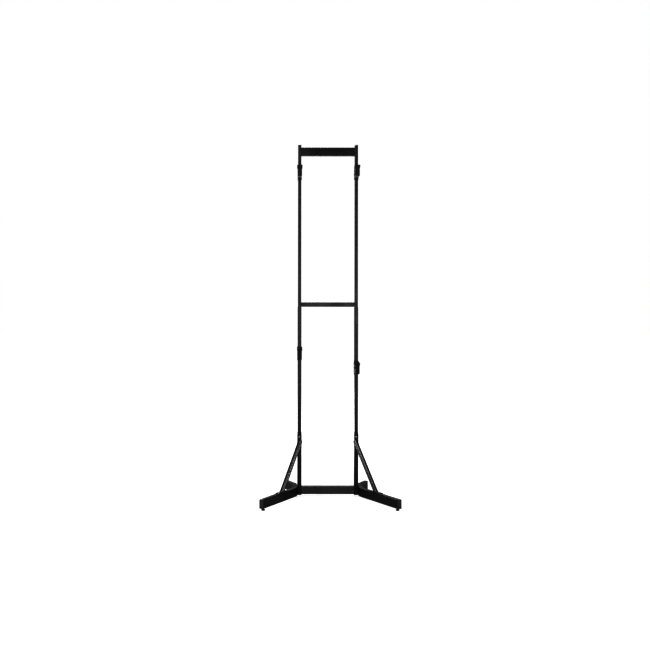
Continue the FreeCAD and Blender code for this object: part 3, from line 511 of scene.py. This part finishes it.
def moulded(name, tone, roughness, grain, depth, shine=0.4):
    """Injection-moulded plastic: spark-eroded grain in the bump, a slow change of gloss,
    and slightly paler, smoother edges."""
    made, tree, shader = new_material(name, {"Specular IOR Level": shine})
    place = add(tree, "TexCoord").outputs["Object"]
    rounded, edge = rounded_normal(tree, 0.6 * MM)
    texture = add(tree, "TexVoronoi", {"Vector": place, "Scale": grain}).outputs["Distance"]
    drift = add(tree, "TexNoise", {"Vector": place, "Scale": 32.0, "Detail": 4.0}).outputs[0]
    scuff = add(tree, "TexNoise", {"Vector": place, "Scale": 420.0, "Detail": 3.0}).outputs[0]
    shade = ramp(tree, drift, [(0.3, tone * 0.8), (0.7, tone * 1.25)])
    rub = add(tree, "Math", {0: edge, 1: scuff}, operation="MULTIPLY").outputs[0]
    colour = add(tree, "MixRGB", {"Fac": rub, "Color1": shade,
                                  "Color2": (tone * 4, tone * 4, tone * 4, 1)})
    tree.links.new(colour.outputs[0], shader.inputs["Base Color"])
    gloss = add(tree, "MapRange", {"Value": drift, "From Min": 0.3, "From Max": 0.7,
                                   "To Min": roughness - 0.06, "To Max": roughness + 0.08})
    tree.links.new(gloss.outputs["Result"], shader.inputs["Roughness"])
    bump = add(tree, "Bump", {"Strength": 0.3, "Distance": depth, "Height": texture,
                              "Normal": rounded})
    tree.links.new(bump.outputs["Normal"], shader.inputs["Normal"])
    return made


cap_plastic = moulded("cap_plastic", 0.012, 0.3, 1100.0, 0.08 * MM, 0.7)


def rounded_rectangle(width, height, radius, steps=5):
    """Outline of a rectangle whose corners are quarter circles."""
    turn = np.linspace(0, np.pi / 2, steps)
    centres = np.array([(1, 1), (-1, 1), (-1, -1), (1, -1)])
    quarters = []
    for quarter, sign in enumerate(centres):
        centre = sign * (np.array([width, height]) / 2 - radius)
        angle = turn + quarter * np.pi / 2
        quarters.append(centre + radius * np.stack([np.cos(angle), np.sin(angle)], axis=-1))
    return np.concatenate(quarters)


def cap_grid(width, height, end, along, up, plug_inset):
    """Cap over a tube's end: copies of the tube's outline, each drawn in by an inset and
    set at a height along the tube, from the plug's root to the pillowed face."""
    profile = [(plug_inset, -CAP_PLUG), (plug_inset, 0.0), (0.0, 0.0), (0.0, 0.2 * CAP_FLANGE),
               (0.14 * MM, 0.38 * CAP_FLANGE), (0.5 * MM, 0.55 * CAP_FLANGE),
               (1.05 * MM, 0.71 * CAP_FLANGE), (1.75 * MM, 0.85 * CAP_FLANGE),
               (2.6 * MM, 0.95 * CAP_FLANGE), (3.6 * MM, CAP_FLANGE), (5.0 * MM, CAP_FLANGE),
               (5.6 * MM, 0.93 * CAP_FLANGE), (6.6 * MM, 0.9 * CAP_FLANGE)]
    side = np.cross(up, along)
    rows = []
    for inset, height_along in profile:
        radius = max(CORNER - 0.6 * inset, TIGHTEST_CORNER)
        ring = rounded_rectangle(width - 2 * inset, height - 2 * inset, radius)
        rows.append(end + ring[:, :1] * side + ring[:, 1:] * up + height_along * along)
    return np.stack(rows)


foot_z = np.array([0, 0, (foot_low.z + foot_high.z) / 2])
leg_ends = [(front_bend + FRONT_LEG * front_heading + foot_z, front_heading),
            (rear_bend + REAR_LEG * rear_heading + foot_z, rear_heading)]
upwards, backwards = np.array([0, 0, 1.0]), np.array([0, 1.0, 0])
cap_pieces = []
for end_name, (end, heading) in zip(("front", "rear"), leg_ends):
    for side, sign in MIRRORED:
        flip = np.array([sign, 1, 1])
        grid = cap_grid(FOOT_WIDTH, FOOT_HEIGHT, end * flip, heading * flip, upwards,
                        FOOT_PLUG_INSET)
        cap_pieces.append(ring_skin(end_name + "_" + side + "_foot_cap", grid, cap_plastic, False))
for piece in cap_pieces:
    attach(piece, "frame")
    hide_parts("foot_end_caps")
for side, sign in MIRRORED:
    tube_low, tube_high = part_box(side + "_upper_upright")
    tube_end = np.array([sign * upright_x, upright_y, tube_high.z])
    grid = cap_grid(tube_high.x - tube_low.x, tube_high.y - tube_low.y, tube_end,
                    upwards, backwards, UPRIGHT_PLUG_INSET)
    piece = ring_skin(side + "_upright_cap", grid, cap_plastic, False)
    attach(piece, "frame")
    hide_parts("upright_caps")


# Levelling glides. A round steel pad on a threaded stud, plated black.
# The stud screws into a nut inside the foot, and its thread shows below the tube.
STUD_RADIUS = 4 * MM
THREAD_PITCH = 1.25 * MM
THREAD_DEPTH = 0.5 * MM
GLIDE_TOP = 36 * MM
TURNED_COLUMNS = 48


def turned_grid(radii, heights, thread_from, thread_to):
    """A turned shape on the Z axis: each row is a circle, and between two heights its
    radius follows a helix, which sinks it by the thread's depth once a pitch."""
    turn = np.linspace(0, 2 * np.pi, TURNED_COLUMNS, endpoint=False)
    radius = np.repeat(np.array(radii)[:, None], TURNED_COLUMNS, axis=1)
    level = np.repeat(np.array(heights)[:, None], TURNED_COLUMNS, axis=1)
    phase = level / THREAD_PITCH - turn[None, :] / (2 * np.pi)
    groove = np.abs(2 * (phase - np.floor(phase)) - 1)
    inside = (level > thread_from) & (level < thread_to)
    radius = radius - np.where(inside, THREAD_DEPTH * groove, 0)
    return np.stack([radius * np.cos(turn), radius * np.sin(turn), level], axis=-1)


PAD_TOP, THREAD_TOP, THREAD_STEP = 7.0, 14.0, 0.1
THREAD_INSET = 0.05
pad_profile = [(0.05, 0.5), (5.0, 0.5), (6.2, 0.0), (8.3, 0.0), (9.4, 0.4), (9.85, 1.1),
               (10.0, 2.0), (10.0, 4.6), (9.8, 5.5), (9.1, 6.2), (7.8, 6.6), (6.6, 6.8),
               (6.3, PAD_TOP), (4.0, PAD_TOP)]
stud_levels = np.arange(PAD_TOP + THREAD_STEP, THREAD_TOP, THREAD_STEP)
heights = [h * MM for _, h in pad_profile] + (stud_levels * MM).tolist() + [GLIDE_TOP]
radii = [r * MM for r, _ in pad_profile] + [STUD_RADIUS] * (len(stud_levels) + 1)
for end_name in ("front", "rear"):
    for side in SIDES:
        name = end_name + "_" + side + "_glide"
        low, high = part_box(name)
        grid = turned_grid(radii, heights, (PAD_TOP + THREAD_INSET) * MM,
                           (THREAD_TOP - THREAD_INSET) * MM)
        grid = grid + np.array([(low.x + high.x) / 2, (low.y + high.y) / 2, low.z])
        piece = ring_skin(name + "_turned", grid, black_zinc, False)
        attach(piece, name)
        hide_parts(name)


# Cradles. A moulded block turns on the arm rod, and a rubber boot is pulled over it.
# The boot's groove has small ribs that run across it, so that a frame tube grips.
BOOT_WIDTH = 29 * MM
GROOVE_RADIUS = 26 * MM
GROOVE_BEHIND_FRONT = 32.7 * MM
LIP_RISE = 13 * MM
REAR_RISE = 17 * MM
BOOT_SKIRT = 2 * MM
RIB_PITCH = 3.2 * MM
RIB_HEIGHT = 0.45 * MM
GROOVE_MARGIN = 3.2 * MM
GROOVE_STEPS = 150
CREST_BEHIND_FRONT = 63.74 * MM
BOOT_ROUND = 3 * MM
BOOT_EDGE = 1.5 * MM
HEM_ROUND = 1.8 * MM
LIP_ROUND = 1.9 * MM
RIB_MARGIN = 0.8 * MM


def rubber(name, tone):
    """Soft rubber: a dusty bloom in slow patches over a fine matt grain."""
    made, tree, shader = new_material(name, {"Specular IOR Level": 0.12, "Sheen Weight": 0.03,
                                             "Sheen Roughness": 0.5})
    place = add(tree, "TexCoord").outputs["Object"]
    bloom = add(tree, "TexNoise", {"Vector": place, "Scale": 75.0, "Detail": 6.0}).outputs[0]
    grain = add(tree, "TexNoise", {"Vector": place, "Scale": 1900.0, "Detail": 2.0}).outputs[0]
    shade = ramp(tree, bloom, [(0.3, tone * 0.75), (0.72, tone * 1.7)])
    tree.links.new(shade, shader.inputs["Base Color"])
    dull = add(tree, "MapRange", {"Value": bloom, "From Min": 0.3, "From Max": 0.7,
                                  "To Min": 0.58, "To Max": 0.78})
    tree.links.new(dull.outputs["Result"], shader.inputs["Roughness"])
    bump = add(tree, "Bump", {"Strength": 0.35, "Distance": 0.08 * MM, "Height": grain})
    tree.links.new(bump.outputs["Normal"], shader.inputs["Normal"])
    return made


def rounded_outline(points, radii, steps=6):
    """Closed outline through corner points, where a corner with a radius becomes an arc:
    it is entered and left at the tangent length, and the arc is a quadratic blend."""
    made = []
    points = np.array(points, float)
    for index, (corner, radius) in enumerate(zip(points, radii)):
        if radius == 0:
            made.append(corner[None])
            continue
        before, after = points[index - 1] - corner, points[(index + 1) % len(points)] - corner
        before, after = before / np.linalg.norm(before), after / np.linalg.norm(after)
        half = math.acos(np.clip(before @ after, -1, 1)) / 2
        reach = radius / math.tan(half)
        start, end = corner + reach * before, corner + reach * after
        t = np.linspace(0, 1, steps)[:, None]
        made.append((1 - t) ** 2 * start + 2 * t * (1 - t) * corner + t ** 2 * end)
    return np.concatenate(made)


def boot_outline(low, high, rib_height):
    """Side view of the boot in (y, z), clockwise from its lower front corner: front,
    lip, groove, crest and sloping back. The groove is an arc, whose radius is less by a
    rib's height at each rib, and the ribs are the upper halves of a cosine."""
    level = low.z + BOOT_SKIRT
    middle = np.array([low.y + GROOVE_BEHIND_FRONT, level + GROOVE_RADIUS])
    front_turn = math.acos(1 - LIP_RISE / GROOVE_RADIUS)
    rear_turn = math.acos(1 - REAR_RISE / GROOVE_RADIUS)
    inset = GROOVE_MARGIN / GROOVE_RADIUS
    turn = np.linspace(-front_turn + inset, rear_turn - inset, GROOVE_STEPS)
    ribs = np.clip(np.cos(2 * np.pi * turn * GROOVE_RADIUS / RIB_PITCH), 0, 1) * rib_height
    fade = np.clip((np.minimum(turn + front_turn, rear_turn - turn) - inset) * 20, 0, 1)
    reach = GROOVE_RADIUS - ribs * fade
    groove = middle + np.stack([reach * np.sin(turn), -reach * np.cos(turn)], axis=-1)
    lip = (middle[0] - GROOVE_RADIUS * math.sin(front_turn), level + LIP_RISE)
    crest = (middle[0] + GROOVE_RADIUS * math.sin(rear_turn), level + REAR_RISE)
    back_top = (low.y + CREST_BEHIND_FRONT, level + REAR_RISE)
    points = [(low.y, low.z), (low.y, lip[1]), lip, *groove, crest, back_top, (high.y, low.z)]
    radii = [HEM_ROUND, BOOT_ROUND, LIP_ROUND, *([0] * len(groove)),
             LIP_ROUND, BOOT_ROUND, HEM_ROUND]
    return rounded_outline(points, radii)


def boot_grid(plain, ribbed, centre_x):
    """The boot as its side outline carried across its width. Near both sides the plain
    outline is drawn in along a quarter circle, so that the long edges are soft, and
    between them the ribbed outline is carried straight across."""
    ahead = np.roll(plain, -1, axis=0) - np.roll(plain, 1, axis=0)
    ahead = ahead / np.linalg.norm(ahead, axis=1, keepdims=True)
    inward = np.stack([ahead[:, 1], -ahead[:, 0]], axis=-1)
    turn = np.linspace(0, np.pi / 2, 6)
    draw = BOOT_EDGE * (1 - np.sin(turn))
    shift = BOOT_WIDTH / 2 - BOOT_EDGE + BOOT_EDGE * np.cos(turn)
    rows = [(plain + d * inward, -s) for d, s in zip(draw, shift)]
    rib_end = BOOT_WIDTH / 2 - BOOT_EDGE - RIB_MARGIN
    rows += [(ribbed, -rib_end), (ribbed, rib_end)]
    rows += [(plain + d * inward, s) for d, s in zip(draw[::-1], shift[::-1])]
    return np.stack([np.column_stack([np.full(len(flat), centre_x + across), flat])
                     for flat, across in rows])


cradle_plastic = moulded("cradle_plastic", 0.007, 0.46, 900.0, 0.1 * MM, 0.12)
boot_rubber = rubber("boot_rubber", 0.0055)
for arm in ARMS:
    dress(cradle_plastic, arm + "_cradle_block")
    low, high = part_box(arm + "_cradle_boot")
    grid = boot_grid(boot_outline(low, high, 0.0), boot_outline(low, high, RIB_HEIGHT),
                     (low.x + high.x) / 2)
    piece = ring_skin(arm + "_boot_ribbed", grid, boot_rubber, False)
    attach(piece, arm + "_cradle")
    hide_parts(arm + "_cradle_boot")


# Clamp knobs. Five-lobed grips moulded on a threaded stud, one behind each sleeve.
# A stud presses a small plastic tip on the upright, so that it doesn't mark the coat.
HUB_START = 10.6 * MM
KNOB_START = 13.6 * MM
LOBES = 5
KNOB_COLUMNS = 120
LOBE_DEPTH = 1.6 * MM
M8_RADIUS = 4 * MM
M8_PITCH = 1.25 * MM
M8_DEPTH = 0.6 * MM
M8_STEP = 0.12 * MM
THREAD_END = 9.7 * MM


def knob_grid(tip, axis_x, axis_z):
    """Stud and knob turned on the Y axis. Rows run from the stud's tip to the knob's
    face, and each has a radius, a lobe share and a thread share. The lobes take a cosine
    of five times the angle off the radius, and the thread a helix's triangle wave."""
    body = KNOB_START + MM * np.array([0.0, 0.4, 1.2, 2.4, 11.0, 12.2,
                                       13.1, 13.7, 14.0, 14.0, 13.5, 13.3])
    body_radius = MM * np.array([10.4, 11.3, 11.8, 12.0, 12.0, 11.8,
                                 11.2, 10.2, 8.8, 6.4, 5.8, 1.2])
    lobed = np.array([1.0, 1.0, 1.0, 1.0, 1.0, 1.0, 1.0, 0.9, 0.6, 0.0, 0.0, 0.0])
    stud = np.arange(0.0, THREAD_END, M8_STEP)
    hub = HUB_START + np.array([0.0, 0.0, 0.5, 2.7, 3.0]) * MM
    hub_radius = np.array([4.0, 6.5, 7.0, 7.0, 7.2]) * MM
    along = np.concatenate([stud, hub, body])
    radius = np.concatenate([np.full(len(stud), M8_RADIUS), hub_radius, body_radius])[:, None]
    lobes = np.concatenate([np.zeros(len(stud) + len(hub)), lobed])[:, None]
    cut = np.concatenate([np.ones(len(stud)), np.zeros(len(hub) + len(body))])[:, None]
    turn = np.linspace(0, 2 * np.pi, KNOB_COLUMNS, endpoint=False)[None, :]
    radius = radius - lobes * LOBE_DEPTH * (0.5 - 0.5 * np.cos(LOBES * turn))
    phase = along[:, None] / M8_PITCH - turn / (2 * np.pi)
    radius = radius - cut * M8_DEPTH * np.abs(2 * (phase - np.floor(phase)) - 1)
    level = np.repeat(along[:, None], KNOB_COLUMNS, axis=1)
    return np.stack([axis_x + radius * np.cos(turn), tip + level,
                     axis_z - radius * np.sin(turn)], axis=-1)


knob_plastic = moulded("knob_plastic", 0.01, 0.34, 1300.0, 0.06 * MM)
tip_plastic = moulded("tip_plastic", 0.5, 0.45, 1300.0, 0.05 * MM)
for arm in ARMS:
    dress(tip_plastic, arm + "_clamp_tip")
    tip_low, tip_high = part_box(arm + "_clamp_tip")
    low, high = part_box(arm + "_clamp_screw")
    grid = knob_grid(low.y, (tip_low.x + tip_high.x) / 2, (tip_low.z + tip_high.z) / 2)
    piece = ring_skin(arm + "_knob", grid, knob_plastic, False)
    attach(piece, arm + "_clamp")
    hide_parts(arm + "_clamp_screw")
